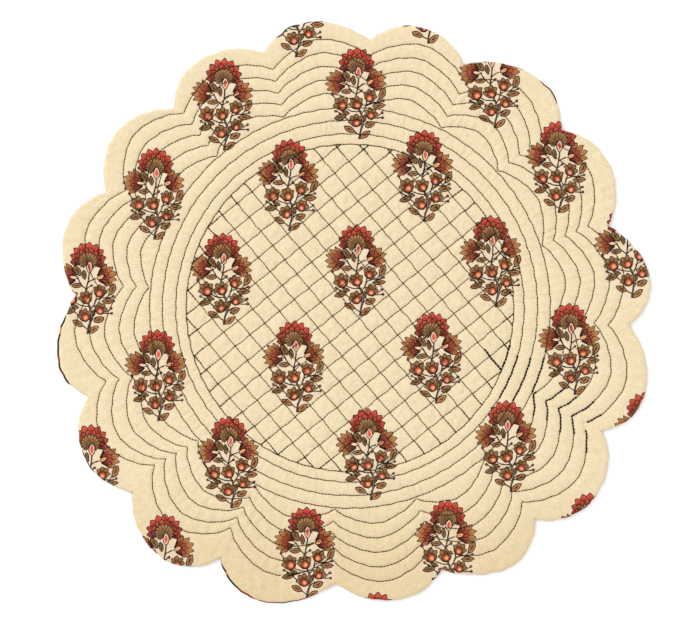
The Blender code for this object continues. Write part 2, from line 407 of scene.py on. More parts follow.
def border_heights(row, points, spacing):
    """Heights on one row: a rounded puff between two sewn lines, lower where they run close.

    Past the last echo line the cloth stays up, then rounds down to the edge like a quarter
    of an ellipse.
    """
    share = row % 1
    near_line = np.sin(math.pi * share) ** BORDER_FULLNESS
    turns = np.arctan2(points[:, 1], points[:, 0])
    tucks = PUCKER * puckers(row * 1.3, turns, BORDER_TUCKS, 5) * near_line
    if row <= LAST_ECHO:
        fullness = np.clip(spacing / 2 / FULL_PUFF_REACH, 0, 1)
        return SEWN_HEIGHT + (PUFF_RISE * near_line + tucks) * fullness
    from_line = np.clip((row - LAST_ECHO) * spacing / FULL_PUFF_REACH, 0, 1)
    from_edge = np.clip((EDGE_ROW - row) * spacing / EDGE_ROUND, 0, 1)
    full = SEWN_HEIGHT + PUFF_RISE * np.sin(math.pi / 2 * from_line) ** BORDER_FULLNESS + tucks
    return EDGE_HEIGHT + (full - EDGE_HEIGHT) * np.sqrt(1 - (1 - from_edge) ** 2)


def hand_guided(points):
    """Plan points moved by a part of a millimetre, as a line wanders when it is sewn by hand.

    Each coordinate is moved by two sines of both, about a centimetre long.
    """
    x, y = points[..., 0], points[..., 1]
    moves = [
        sum(height * np.sin(right * x + up * y + phase) for height, right, up, phase in waves)
        for waves in GUIDING_WAVES
    ]
    return points + GUIDING * np.stack(moves, axis=-1)


def hatch_axes():
    """Unit vectors across the two families of hatch lines, one a row."""
    return np.array([polar(degrees + 90, 1.0) for degrees in HATCH_DEGREES])


def hatch_rows(offsets):
    """A family's lines with one more beyond each end, so that every cell has two sides."""
    lines = np.array(offsets)
    return np.concatenate([[2 * lines[0] - lines[1]], lines, [2 * lines[-1] - lines[-2]]])


def centre_heights(points):
    """Heights inside ring 1: each diamond is a pillow, low along its four lines of sewing.

    It is the product of a rounded hump across each family of lines, and it comes down to the
    ring the same way.
    """
    puff = np.ones(len(points))
    for axis, offsets in zip(hatch_axes(), HATCH_OFFSETS):
        lines = hatch_rows(offsets)
        share = np.interp(points @ axis, lines, range(len(lines))) % 1
        puff *= np.sin(math.pi * share) ** CENTRE_FULLNESS
    from_ring = from_inner_ring(points)
    puff *= np.sin(math.pi / 2 * np.clip(from_ring / FULL_PUFF_REACH, 0, 1)) ** CENTRE_FULLNESS
    tucks = PUCKER * (puckers(points[:, 0] * 0.3, points[:, 1] / 60, CENTRE_TUCKS, 8))
    tucks += PUCKER * (puckers(points[:, 1] * 0.3, points[:, 0] / 60, CENTRE_TUCKS, 9))
    return SEWN_HEIGHT + (PUFF_RISE + tucks) * puff


def quilted_sheet(columns, channel_shares, edge_shares, cell_shares):
    """(plan points, heights, rows of the border, faces) of a quilted face, border first.

    The border is a grid of rows and columns. The middle is a net of points on and between the
    hatch lines, joined to ring 1 by triangles.
    """
    shares = np.arange(columns) / columns
    rows = [line + share for line in range(LAST_ECHO) for share in channel_shares]
    rows += [LAST_ECHO + share for share in edge_shares]
    lines = [border_row(line, shares) for line in range(EDGE_ROW + 1)]
    points, heights = [], []
    for row in rows:
        inner = min(int(row), LAST_ECHO)
        spacing = np.linalg.norm(lines[inner + 1] - lines[inner], axis=1)
        points.append(border_row(row, shares))
        heights.append(border_heights(row, points[-1], spacing))
    around = len(points[0])
    grid = np.arange(len(rows) * around).reshape(len(rows), around)
    turned = np.roll(grid, -1, axis=1)
    border_faces = np.stack([grid[:-1], grid[1:], turned[1:], turned[:-1]], axis=-1).reshape(-1, 4)

    nets = []
    for offsets in HATCH_OFFSETS:
        edges = hatch_rows(offsets)
        nets.append((edges[:-1, None] + np.diff(edges)[:, None] * cell_shares).ravel())
    offsets = np.stack(np.meshgrid(*nets), axis=-1).reshape(-1, 2)
    inside = np.linalg.solve(hatch_axes(), offsets.T).T
    inside = inside[from_inner_ring(inside) > RING_CLEARANCE]
    flat = [Vector(point) for point in np.concatenate([points[0], inside])]
    made = delaunay_2d_cdt(flat, [], [list(range(around))], 1, 1e-7)
    centre_faces = np.array(made[2])
    centre_faces = np.where(centre_faces < around, centre_faces, centre_faces - around + grid.size)

    plan = hand_guided(np.concatenate([*points, inside]))
    height = np.concatenate([*heights, centre_heights(inside)])
    return plan, height, grid, border_faces.tolist() + centre_faces.tolist()


def placed(plan, height):
    """Points in the part's frame, in metres."""
    return np.column_stack([plan - MIDDLE, height]) * MM


def cloth_piece(name, points, faces, material):
    """A smooth piece made of these points and faces, in one material."""
    mesh = bpy.data.meshes.new(name)
    mesh.from_pydata(points.tolist(), [], faces)
    mesh.polygons.foreach_set("use_smooth", np.ones(len(mesh.polygons), bool))
    mesh.materials.append(material)
    return new_object(name, mesh)


def shade(red, green, blue):
    """A colour from its screen values, 0 to 255."""
    screen = np.array([red, green, blue]) / 255
    linear = np.where(screen <= 0.04045, screen / 12.92, ((screen + 0.055) / 1.055) ** 2.4)
    return (*linear.tolist(), 1.0)


def new_group(name, takes, gives):
    """A shader node group and its inputs as fields. Takes maps each input to its default value."""
    group = bpy.data.node_groups.new(name, "ShaderNodeTree")
    kinds = {1: "Float", 3: "Vector", 4: "Color"}
    for label, default in takes.items():
        kind = kinds[np.size(default)]
        socket = group.interface.new_socket(label, in_out="INPUT", socket_type="NodeSocket" + kind)
        socket.default_value = default
    for label, kind in gives.items():
        group.interface.new_socket(label, in_out="OUTPUT", socket_type="NodeSocket" + kind)
    entry = group.nodes.new("NodeGroupInput")
    return group, {label: Field(group, entry.outputs[label]) for label in takes}


def close_group(group, results):
    """Joins these fields to the group's outputs."""
    leaving = group.nodes.new("NodeGroupOutput")
    for label, field in results.items():
        group.links.new(field.socket, leaving.inputs[label])


def use_group(tree, group, values):
    """The outputs of one copy of a group in a tree, with these inputs, as fields."""
    node = tree.nodes.new("ShaderNodeGroup")
    node.node_tree = group
    set_inputs(tree, node, values)
    return {socket.name: Field(tree, socket) for socket in node.outputs}


# Clouds over each millimetre along a thick yarn and across it
SLUB_CLOUDS = (0.35, 2.2)
# Relief in millimetres, then change of shade, from threads, thick yarns, rumples and fine fuzz
THREAD_RELIEF, SLUB_RELIEF, FUZZ_RELIEF = 0.05, 0.04, 0.06
# The rumples' change of shade is painted shade: darker in their hollows, lighter on their tops. Thick
# yarns and fuzz give the cloth's own tone.
SLUB_SHADE, RUMPLE_PAINTED_SHADE, FUZZ_SHADE = 0.45, 0.25, 0.75


def make_weave():
    """Plain cotton cloth: crossing threads, thicker and thinner yarns, and soft rumples.

    The threads are the larger of two rows of humps, one along each direction, which take turns
    over and under. Rumples are cloudy noise a few millimetres across, with painted shade in their
    hollows.
    """
    group, given = new_group(
        "cotton_weave",
        {"Place": (0.0, 0.0, 0.0), "Threads per mm": 2.6, "Rumple": 0.5},
        {"Height": "Float", "Shade": "Float"},
    )
    place = given["Place"] * (1000.0, 1000.0, 1000.0)
    slubs = place.made("Mapping", {0: place, 3: (*SLUB_CLOUDS, 1.0)}).noise(1.0)
    other_slubs = place.made("Mapping", {0: place, 3: (*SLUB_CLOUDS[::-1], 1.0)}).noise(1.0)
    across, along = place.split()
    warp = (across * given["Threads per mm"] * math.pi).math("SINE")
    weft = (along * given["Threads per mm"] * math.pi).math("SINE")
    over = (warp * weft).math("ABSOLUTE")
    rumples = place.noise(0.22, 3.0)
    fuzz = place.noise(1.5, 2.0)
    height = over * THREAD_RELIEF + (slubs + other_slubs) * SLUB_RELIEF
    height = height + rumples * given["Rumple"] + fuzz * FUZZ_RELIEF
    tone_and_rumple_shade = (slubs + other_slubs) * SLUB_SHADE + rumples * RUMPLE_PAINTED_SHADE + fuzz * FUZZ_SHADE
    close_group(group, {"Height": height, "Shade": tone_and_rumple_shade})
    return group


INK = shade(27, 12, 6)
ORIGIN = (0.0, 0.0, 0.0)
RIGHT = (1.0, 0.0, 0.0)
# Shapes are painted one over another. Each group takes the colour painted so far and how far
# the nearest ink lies, in millimetres, and gives both back with its own shape added.
BRUSH = {"Place": ORIGIN, "Painted": INK, "To ink": 50.0}
BRUSH_GIVES = {"Painted": "Color", "To ink": "Float"}
PETAL_LINE = 0.43
LEAF_LINE = 0.36
STEM_LINE = 0.32
# How soft the sides of an inked line and of a filled shape are
LINE_SOFTNESS = 0.1
FILL_SOFTNESS = 0.12


def paint(given, away, fills, line=LEAF_LINE, covers=False):
    """Inks the inside of a shape, then fills it.

    Away is the distance outside the shape's line, and line is half the line's width. Fills are
    (mask, colour) pairs, each laid inside the last. A shape that covers others has its line
    inked over them too. Gives the group's two outputs.
    """
    colour = given["Painted"]
    if covers:
        colour = away.step(line + LINE_SOFTNESS, line - LINE_SOFTNESS).blend(colour, INK)
    inside = away.step(-line + FILL_SOFTNESS, -line - FILL_SOFTNESS)
    filled = None
    for mask, fill in fills:
        filled = fill if filled is None else mask.blend(filled, fill)
    return {
        "Painted": inside.blend(colour, filled),
        "To ink": given["To ink"].math("MINIMUM", away - line),
    }


def make_leaf(name, covers):
    """A pointed leaf, the overlap of two circles, with a dark or bright eye along its middle."""
    group, given = new_group(name, BRUSH | {
        "Middle": ORIGIN, "Axis": RIGHT, "Half length": 4.0, "Half width": 2.0,
        "Leaf": INK, "Eye": INK, "Eye size": 0.5,
    }, BRUSH_GIVES)
    length, width = given["Half length"], given["Half width"]
    along, across = given["Place"].framed(given["Middle"], given["Axis"])
    beyond = (length * length - width * width) / (width * 2.0)
    radius = (length * length + width * width) / (width * 2.0)
    away = along.distance(across.math("ABSOLUTE") + beyond) - radius
    eye = (away + width - width * given["Eye size"]).step(0.25, -0.25)
    fills = [(None, given["Leaf"]), (eye, given["Eye"])]
    close_group(group, paint(given, away, fills, covers=covers))
    return group


def make_stem():
    """A stem: a bowed line from a start, as long as Length, as thick as Thick, paler inside."""
    group, given = new_group("stem", BRUSH | {
        "Start": ORIGIN, "Axis": RIGHT, "Length": 5.0, "Bow": 0.0,
        "Thick": 0.2, "Core": INK,
    }, BRUSH_GIVES)
    along, across = given["Place"].framed(given["Start"], given["Axis"])
    share = along.made("MapRange", {0: along, 2: given["Length"]})
    bowed = share * (share * -4.0 + 4.0) * given["Bow"]
    away = (along - share * given["Length"]).distance(across - bowed) - given["Thick"]
    close_group(group, paint(given, away, [(None, given["Core"])], STEM_LINE))
    return group


def make_fan():
    """A fan of pointed petals round an apex.

    The reach swings between valley and tip once a petal, rounded by a power below one, and
    shrinks with the square of the turn from the axis. The fan stops at its spread on both
    sides and at its inner reach. Ink lies between petals, and a darker vein in each one's middle.
    """
    group, given = new_group("fan", BRUSH | {
        "Apex": ORIGIN, "Axis": RIGHT, "Petal": 0.4, "Shift": 0.0,
        "Spread": 1.0, "Inner": 2.0, "Valley": 10.0, "Tip": 14.0, "Droop": 0.1,
        "Root colour": INK, "Tip colour": INK,
    }, BRUSH_GIVES)
    along, across = given["Place"].framed(given["Apex"], given["Axis"])
    reach = along.distance(across)
    turn = across.math("ARCTAN2", along)
    wave = ((turn + given["Shift"]) / given["Petal"] * 2.0).math("PINGPONG", 1.0)
    rounded = wave.math("POWER", 0.8)
    shrink = turn * turn * given["Droop"] * -1.0 + 1.0
    rim = (rounded * (given["Tip"] - given["Valley"]) + given["Valley"]) * shrink
    side = (turn.math("ABSOLUTE") - given["Spread"]) * reach
    away = (reach - rim).math("MAXIMUM", side).math("MAXIMUM", given["Inner"] - reach)
    half_petal = given["Petal"] * reach.math("MAXIMUM", 5.0) * 0.5
    to_fold = wave * half_petal
    petal = to_fold.step(0.12, 0.36)
    towards_tip = (reach - given["Inner"]) / (given["Tip"] - given["Inner"])
    vein = to_fold - half_petal
    vein = vein.math("ABSOLUTE").step(0.03, 0.36).math("MAXIMUM", towards_tip.step(0.75, 0.95))
    fill = towards_tip.step(0.2, 0.95).blend(given["Root colour"], given["Tip colour"])
    shaded = (petal * (vein * 0.55 + 0.45)).blend(INK, fill)
    close_group(group, paint(given, away, [(None, shaded)], PETAL_LINE, covers=True))
    return group


# Half the turn from one sepal of a bud to the next
HALF_SEPAL = 0.436


def make_bud():
    """A round bud: four pointed sepals behind a bright ball.

    The reach swings between valley and tip four times across the front, rounded by a power
    below one, and is even behind.
    """
    group, given = new_group("bud", BRUSH | {
        "Middle": ORIGIN, "Axis": RIGHT, "Size": 5.0,
        "Sepal": INK, "Ball": INK, "Glow": INK,
    }, BRUSH_GIVES)
    size = given["Size"]
    along, across = given["Place"].framed(given["Middle"], given["Axis"])
    along, across = along / size, across / size
    reach = along.distance(across)
    turn = across.math("ARCTAN2", along).math("ABSOLUTE")
    wave = (turn / HALF_SEPAL).math("PINGPONG", 1.0)
    front = turn.step(1.8, 1.3)
    rim = wave.math("POWER", 0.6) * front * 0.3 + 0.76
    away = (reach - rim) * size
    fold = (wave * reach * size * HALF_SEPAL + front.step(0.6, 0.4) * 3.0).step(0.16, 0.4)
    from_ball = (along + 0.2).distance(across)
    sepal_share = fold * from_ball.step(0.5, 0.6) * (reach.step(0.4, 0.9) * 0.45 + 0.55)
    sepal = sepal_share.blend(INK, given["Sepal"])
    glow = (along + 0.28).distance(across + 0.04).step(0.4, 0.02)
    ball_colour = glow.blend(given["Ball"], given["Glow"])
    fills = [(None, sepal), (from_ball.step(0.49, 0.39), ball_colour)]
    close_group(group, paint(given, away, fills))
    return group


def make_berry():
    """A small round berry."""
    group, given = new_group("berry", BRUSH | {
        "Middle": ORIGIN, "Size": 0.8, "Berry": INK,
    }, BRUSH_GIVES)
    away = (given["Place"] - given["Middle"]).math("LENGTH") - given["Size"]
    close_group(group, paint(given, away, [(None, given["Berry"])], STEM_LINE))
    return group


MADDER_RED = shade(214, 78, 56)
DEEP_RED = shade(140, 54, 38)
WINE_RED = shade(212, 84, 60)
INNER_RED = shade(180, 76, 52)
DARK_RED = shade(112, 40, 32)
BERRY_RED = shade(150, 70, 52)
OCHRE = shade(176, 122, 68)
TAN = shade(156, 110, 66)
OLIVE = shade(128, 94, 54)
FAN_BROWN = shade(128, 88, 54)
FAN_OCHRE = shade(174, 130, 78)
SEPAL_BROWN = shade(142, 100, 60)
EYE_BROWN = shade(84, 44, 30)
PEACH = shade(238, 166, 118)
BALL_RED = shade(166, 60, 40)
PINK_CREAM = shade(219, 197, 172)
STEM_GREY = shade(128, 112, 98)

# The sprig's parts, in millimetres right and up of its middle, and degrees anticlockwise.
# Stems run from a start to an end, bow to their left, and are so thick.
STEMS = [
    ((2.8, -32.3), (4.6, -24.0), 0.3, 0.4),
    ((4.6, -24.0), (4.2, -15.2), -0.5, 0.6),
    ((4.2, -15.2), (0.2, -0.2), 0.9, 0.4),
    ((0.3, -0.3), (1.8, 11.4), -0.3, 0.2),
    ((1.3, 4.6), (6.4, 7.6), 0.3, 0.15),
    ((0.15, -0.2), (-6.2, 7.3), 0.8, 0.15),
    ((4.6, -14.0), (7.9, -5.2), -0.8, 0.15),
    ((7.0, -8.4), (16.0, -6.0), 0.9, 0.15),
    ((14.5, -6.4), (17.6, -1.6), -0.4, 0.12),
    ((4.0, -12.6), (-6.6, -11.0), 0.9, 0.12),
    ((3.0, -11.2), (1.6, -9.0), 0.0, 0.15),
    ((4.9, -18.6), (9.6, -15.6), 0.5, 0.12),
    ((3.6, -29.8), (-2.2, -25.0), 0.8, 0.12),
    ((5.0, -24.2), (9.2, -20.4), 0.8, 0.12),
    ((1.0, -24.0), (-12.0, -14.4), -0.4, 0.12),
    ((-17.0, -1.2), (-14.0, -4.8), 0.0, 0.1),
    ((-14.2, -12.8), (-10.8, -14.2), 0.0, 0.1),
    ((3.4, 2.2), (0.9, 0.0), 0.0, 0.1),
    ((19.6, -5.0), (15.8, -6.0), 0.0, 0.1),
    ((18.6, -13.9), (15.4, -16.4), 0.0, 0.1),
    ((19.0, -17.2), (13.6, -17.4), 0.0, 0.1),
]
# Leaves: middle, direction, length, width and colour
LEAVES = [
    ((19.3, 0.4), 68, 9.3, 4.4, TAN),
    ((16.8, -8.2), 5, 9.3, 3.7, TAN),
    ((10.6, -22.2), 25, 7.8, 4.2, TAN),
    ((7.0, -29.6), 38, 8.8, 3.9, OCHRE),
    ((-4.6, -25.6), 155, 8.4, 3.9, TAN),
    ((-11.2, -17.0), 195, 9.0, 3.9, OLIVE),
    ((-7.4, -13.6), 165, 5.6, 2.6, OLIVE),
    ((6.2, -17.8), 80, 5.4, 2.4, OLIVE),
    ((-6.9, 12.7), 125, 8.8, 4.4, OLIVE),
    ((-1.8, 10.0), 100, 7.2, 3.0, OLIVE),
    ((-6.7, 1.9), 185, 7.8, 3.4, TAN),
]
# Drops, which cover what they cross: the same, and the colour and size of the eye
SIDE_DROPS = [
    ((10.3, 8.9), 28, 5.8, 3.0, PEACH, OCHRE, 0.3),
    ((-9.4, 7.8), 174, 6.8, 2.6, PEACH, PINK_CREAM, 0.5),
]
CROWN_DROP = ((1.7, 15.8), 91, 8.8, 4.4, PINK_CREAM, MADDER_RED, 0.55)
BERRIES = [(-17.2, -0.4), (-14.6, -12.5), (4.0, 2.5), (20.2, -4.7), (19.3, -13.4), (19.8, -17.1)]
# Buds: middle, direction of the sepals, and size
BUDS = [
    ((-10.4, -7.7), 118, 5.8),
    ((0.5, -7.0), 112, 5.3),
    ((10.2, -1.8), 72, 5.1),
    ((11.2, -14.6), 78, 4.8),
    ((0.2, -20.0), 112, 5.2),
]
# Side flowers: apex, direction, turn of a petal and of the first one, reach, droop and spread,
# turns in radians
SIDE_FLOWERS = [
    ((6.6, 7.4), 19, 0.33, 0.165, 16.2, 0.4, 0.83),
    ((-5.9, 7.3), 172, 0.285, 0.0, 16.8, 0.35, 0.86),
]
# The crown's fans: turn of a petal and of the first one, spread, reach of its inner side, of the
# valleys and of the tips, and the colours at root and tip
CROWN_FANS = [
    (0.396, 0.198, 1.79, 6.6, 13.0, 15.7, DARK_RED, MADDER_RED),
    (0.396, 0.0, 1.79, 6.0, 9.4, 12.0, DARK_RED, WINE_RED),
    (0.33, 0.0, 2.4, 0.8, 6.8, 8.8, FAN_BROWN, FAN_OCHRE),
]
# The print's pale halo: how far from the ink it ends and is full, and how strong it is
HALO_REACH, HALO_FULL, HALO_SHARE = 2.1, 0.5, 0.7


def flat_point(point):
    """A plan point as a point in space."""
    return (*point, 0.0)


def axis_at(degrees):
    """The unit vector in this direction."""
    return (math.cos(math.radians(degrees)), math.sin(math.radians(degrees)), 0.0)


def make_sprig():
    """The whole sprig: stems, leaves, berries, buds, two side flowers and the crown over them."""
    stem, leaf, berry, bud = make_stem(), make_leaf("leaf", False), make_berry(), make_bud()
    fan, drop = make_fan(), make_leaf("drop", True)
    group, given = new_group(
        "flower_sprig",
        {"Place": ORIGIN, "Ground": PINK_CREAM},
        {"Colour": "Color"},
    )
    state = {"Painted": INK, "To ink": 50.0}
    place = given["Place"]

    def draw(shape, values):
        state.update(use_group(group, shape, {"Place": place} | state | values))

    def draw_leaf(shape, middle, direction, length, width, colour, eye=EYE_BROWN, eye_size=0.36):
        draw(shape, {
            "Middle": flat_point(middle), "Axis": axis_at(direction), "Half length": length / 2,
            "Half width": width / 2, "Leaf": colour, "Eye": eye, "Eye size": eye_size,
        })

    def draw_fan(shape, petal, shift, spread, inner, valley, tip, root_colour, tip_colour):
        draw(fan, shape | {
            "Petal": petal, "Shift": shift, "Spread": spread, "Inner": inner, "Valley": valley,
            "Tip": tip, "Root colour": root_colour, "Tip colour": tip_colour,
        })

    for start, end, bow, thick in STEMS:
        along = np.subtract(end, start)
        turn = math.degrees(math.atan2(along[1], along[0]))
        draw(stem, {
            "Start": flat_point(start), "Axis": axis_at(turn), "Length": float(np.hypot(*along)),
            "Bow": bow, "Thick": thick, "Core": STEM_GREY,
        })
    for values in LEAVES:
        draw_leaf(leaf, *values)
    for middle in BERRIES:
        draw(berry, {"Middle": flat_point(middle), "Size": 0.75, "Berry": BERRY_RED})
    for middle, direction, size in BUDS:
        draw(bud, {
            "Middle": flat_point(middle), "Axis": axis_at(direction), "Size": size,
            "Sepal": SEPAL_BROWN, "Ball": BALL_RED, "Glow": PEACH,
        })
    for apex, axis, petal, shift, tip, droop, spread in SIDE_FLOWERS:
        flower = {"Apex": flat_point(apex), "Axis": axis_at(axis), "Droop": droop}
        draw_fan(flower, petal, shift, spread, 3.0, tip * 0.8, tip, DEEP_RED, OCHRE)
        draw_fan(
            flower, petal, shift + petal / 2, spread * 0.85, 3.6, tip * 0.53, tip * 0.7,
            DARK_RED, INNER_RED,
        )
    for values in SIDE_DROPS:
        draw_leaf(drop, *values)
    crown = {"Apex": flat_point((0.3, 18.4)), "Axis": axis_at(89), "Droop": 0.08}
    for values in CROWN_FANS:
        draw_fan(crown, *values)
    draw_leaf(drop, *CROWN_DROP)

    halo = state["To ink"].step(HALO_REACH, HALO_FULL) * HALO_SHARE
    ground = halo.blend(given["Ground"], PINK_CREAM)
    inked = state["To ink"].step(LINE_SOFTNESS, -LINE_SOFTNESS)
    close_group(group, {"Colour": inked.blend(ground, state["Painted"])})
    return group


def make_sprig_place():
    """A point's place in its sprig, straying by a part of a millimetre as a hand block does."""
    group, given = new_group("sprig_place", {"Stray": 0.9}, {"Place": "Vector"})
    sprig_map = group.nodes.new("ShaderNodeUVMap")
    sprig_map.uv_map = "sprig_mm"
    cloth = Field(group, group.nodes.new("ShaderNodeTexCoord").outputs["Object"])
    stray = cloth.noise(420.0, 1.0, "Color") - (0.5, 0.5, 0.5)
    stray = stray.made("VectorMath", {0: stray, "Scale": given["Stray"]}, operation="SCALE")
    close_group(group, {"Place": Field(group, sprig_map.outputs["UV"]) + stray})
    return group


GROUND_LIGHT = shade(235, 219, 185)
GROUND_DARK = shade(206, 186, 147)
# Tint of the painted shade along the cloth's lower side
LOWER_SHADE_TINT = (0.92, 0.88, 0.82, 1.0)
BUMP_STRENGTH = 0.6


def colour_and_bump(tree, shader, colour, height):
    """Gives the shader this colour, and relief from a height in millimetres."""
    tree.links.new(colour.socket, shader.inputs["Base Color"])
    bump = height.made("Bump", {"Height": height, "Distance": MM, "Strength": BUMP_STRENGTH})
    tree.links.new(bump.socket, shader.inputs["Normal"])


def printed_cotton(weave):
    """Cream cotton with the sprig printed on it. The sprig's own map puts it on the cloth."""
    material, tree, shader, place = new_material("printed_cotton", {
        "Roughness": 0.9, "Sheen Weight": 0.02, "Sheen Roughness": 0.6, "Specular IOR Level": 0.1,
    })
    cloth = use_group(tree, weave, {"Place": place, "Rumple": 0.9})
    # The ground's tone: the yarns' own, with painted shade in the rumples' hollows
    tone_and_rumple_shade = cloth["Shade"].step(0.55, 1.35)
    ground = tone_and_rumple_shade.blend(GROUND_DARK, GROUND_LIGHT)
    # Painted shade: the cloth's colour is made a little yellower and darker along its lower side,
    # where the light falls off
    lower_shade = place.split()[1].step(-0.1, -0.2)
    ground = lower_shade.blend(ground, LOWER_SHADE_TINT, blend_type="MULTIPLY")

    on_sprig = use_group(tree, make_sprig_place(), {"Stray": 0.9})["Place"]
    print_of = use_group(tree, make_sprig(), {"Place": on_sprig, "Ground": ground})
    worn = (place.noise(900.0, 2.0).step(0.5, 0.8) * 0.18).blend(print_of["Colour"], ground)
    colour_and_bump(tree, shader, worn, cloth["Height"])
    return material


# The sprigs stand in rows, printed with one block, and rise to the right because the cloth was
# cut askew. A row has its count, its first sprig's place right and up of the rings' middle, the
# step right and the rise from one sprig to the next, all in millimetres, and in degrees the
# first one's turn and how much more each next one turns.
SPRIG_ROWS = [
    # count first_right first_up step rise first_turn more_turn
    (2, -41.7, 213.7, 92.7, 9.5, -4.0, 7.0),
    (3, -95.0, 145.8, 97.8, 8.0, -2.5, 2.0),
    (4, -145.3, 80.4, 98.2, 6.57, -3.5, 0.5),
    (5, -194.25, 11.8, 98.55, 6.42, -3.0, 1.5),
    (4, -143.5, -52.05, 100.75, 6.35, -1.5, 1.0),
    (5, -192.05, -121.4, 101.47, 5.84, -2.0, 1.0),
    (4, -137.7, -186.75, 102.93, 5.11, -1.0, -1.0),
    (1, 16.7, -243.7, 0.0, 0.0, -3.0, 0.0),
]
sprigs = np.array([
    (right + step * column, up + rise * column, turn + more_turn * column)
    for count, right, up, step, rise, turn, more_turn in SPRIG_ROWS
    for column in range(count)
])


def lay_sprig_map(piece, plan):
    """A map that gives each face its place in the nearest sprig's own frame, in millimetres."""
    mesh = piece.data
    corners = np.empty(len(mesh.loops), np.int32)
    mesh.loops.foreach_get("vertex_index", corners)
    counts = np.empty(len(mesh.polygons), np.int32)
    mesh.polygons.foreach_get("loop_total", counts)
    face_of = np.repeat(np.arange(len(counts)), counts)
    middles = np.stack([np.bincount(face_of, plan[corners, axis]) / counts for axis in (0, 1)], axis=1)
    nearest = np.linalg.norm(middles[:, None] - sprigs[:, :2], axis=2).argmin(axis=1)[face_of]
    from_middle = plan[corners] - sprigs[nearest, :2]
    turns = np.radians(sprigs[nearest, 2])
    right = from_middle[:, 0] * np.cos(turns) + from_middle[:, 1] * np.sin(turns)
    up = from_middle[:, 1] * np.cos(turns) - from_middle[:, 0] * np.sin(turns)
    layer = mesh.uv_layers.new(name="sprig_mm")
    layer.data.foreach_set("uv", np.stack([right, up], axis=1).ravel())


# Points across a scallop, then where rows of points lie in a channel, the edge strip and a cell
COLUMNS = 40
CHANNEL_SHARES = np.array([0, 0.06, 0.14, 0.26, 0.42, 0.58, 0.74, 0.86, 0.94])
EDGE_SHARES = np.array([0, 0.05, 0.12, 0.22, 0.35, 0.5, 0.64, 0.76, 0.86, 0.93, 0.975, 1.0])
CELL_SHARES = np.array([0, 0.045, 0.1, 0.18, 0.29, 0.42, 0.58, 0.71, 0.82, 0.9, 0.955])
# The underside's edge lies in a little from the edge that shows
HEM_SHARE = 0.998

plan, height, grid, faces = quilted_sheet(COLUMNS, CHANNEL_SHARES, EDGE_SHARES, CELL_SHARES)
edge = grid[-1]
hem = len(plan) + np.arange(len(edge))
faces += np.stack([edge, hem, np.roll(hem, -1), np.roll(edge, -1)], axis=1).tolist()
faces.append(hem[::-1].tolist())
plan = np.concatenate([plan, plan[edge] * HEM_SHARE])
height = np.append(height, np.full(len(edge), UNDERSIDE_HEIGHT))
weave = make_weave()
top = cloth_piece("quilted_top", placed(plan, height), faces, printed_cotton(weave))
lay_sprig_map(top, plan)
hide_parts("printed_top")
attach(top, "root")


# Backing: a second cotton cloth, dark with a madder and indigo print. It lies on the table
# and shows past the edge only in a few places, where the turned edge rolled upwards.

BACKING_TOP = 1.0
BACKING_INSET = 0.6
# Direction and half width in degrees, and how far the backing stands out there
PEEKS = [
    (47.3, 3.8, 1.1),
    (54.5, 1.8, 0.7),
    (102.4, 2.8, 0.9),
    (189.0, 7.8, 1.5),
    (211.5, 2.5, 0.9),
    (247.5, 5.2, 1.4),
    (257.0, 6.0, 0.8),
]
PEEK_SLOPE = 1.8
# The edge bulges outwards between its foot and its shoulder
EDGE_BULGE = 0.35
FOOT_HEIGHT = 0.1
BULGE_HEIGHT = 0.6


def backing_offset(degrees):
    """How far the backing's edge lies outside the top's: a swell at each peek, smooth at its ends."""
    offset = np.full(len(degrees), -BACKING_INSET)
    for direction, half_width, reach in PEEKS:
        away = np.abs((degrees - direction + 180) % 360 - 180)
        share = np.clip((half_width - away) / PEEK_SLOPE, 0, 1)
        swell = share * share * (3 - 2 * share)
        offset = np.maximum(offset, swell * (reach + BACKING_INSET) - BACKING_INSET)
    return offset


def backing_cotton(weave):
    """Indigo cotton with blotches of madder red and ochre."""
    material, tree, shader, place = new_material("backing_cotton", {
        "Roughness": 0.9, "Sheen Weight": 0.08, "Specular IOR Level": 0.2,
    })
    cloth = use_group(tree, weave, {"Place": place, "Rumple": 0.4})
    blotches = place.noise(70.0, 2.0)
    colour = blotches.step(0.5, 0.53).blend(shade(34, 26, 34), shade(138, 38, 32))
    colour = place.noise(110.0, 1.0).step(0.62, 0.65).blend(colour, shade(196, 128, 66))
    colour_and_bump(tree, shader, colour, cloth["Height"])
    return material


UNDER_CHANNEL = np.array([0, 0.15, 0.5, 0.85])
UNDER_CELL = np.array([0, 0.12, 0.35, 0.65, 0.88])
UNDER_EDGE = np.array([0, 0.15, 0.5, 0.85, 1.0])
UNDER_RISE = 0.5

under_plan, under_height, under_grid, under_faces = quilted_sheet(
    COLUMNS, UNDER_CHANNEL, UNDER_EDGE, UNDER_CELL
)
under_faces = [face[::-1] for face in under_faces]
puffed = np.clip((under_height - SEWN_HEIGHT) / PUFF_RISE, 0, 1)
under_height = UNDER_RISE * (1 - puffed)
rim = under_grid[-1]
outline = under_plan[rim]
steps = np.roll(outline, -1, axis=0) - np.roll(outline, 1, axis=0)
outwards = np.stack([steps[:, 1], -steps[:, 0]], axis=1) / np.linalg.norm(steps, axis=1)[:, None]
offset = backing_offset(directions(outline))
foot = outline + outwards * (offset - EDGE_BULGE)[:, None]
under_plan[rim] = foot
under_height[rim] = FOOT_HEIGHT
bulge = len(under_plan) + np.arange(len(rim))
shoulder = bulge + len(rim)
under_plan = np.concatenate([under_plan, outline + outwards * offset[:, None], foot])
under_height = np.concatenate([
    under_height, np.full(len(rim), BULGE_HEIGHT), np.full(len(rim), BACKING_TOP),
])
for low, high in ((rim, bulge), (bulge, shoulder)):
    under_faces += np.stack([low, np.roll(low, -1), np.roll(high, -1), high], axis=1).tolist()
under_faces.append(shoulder.tolist())
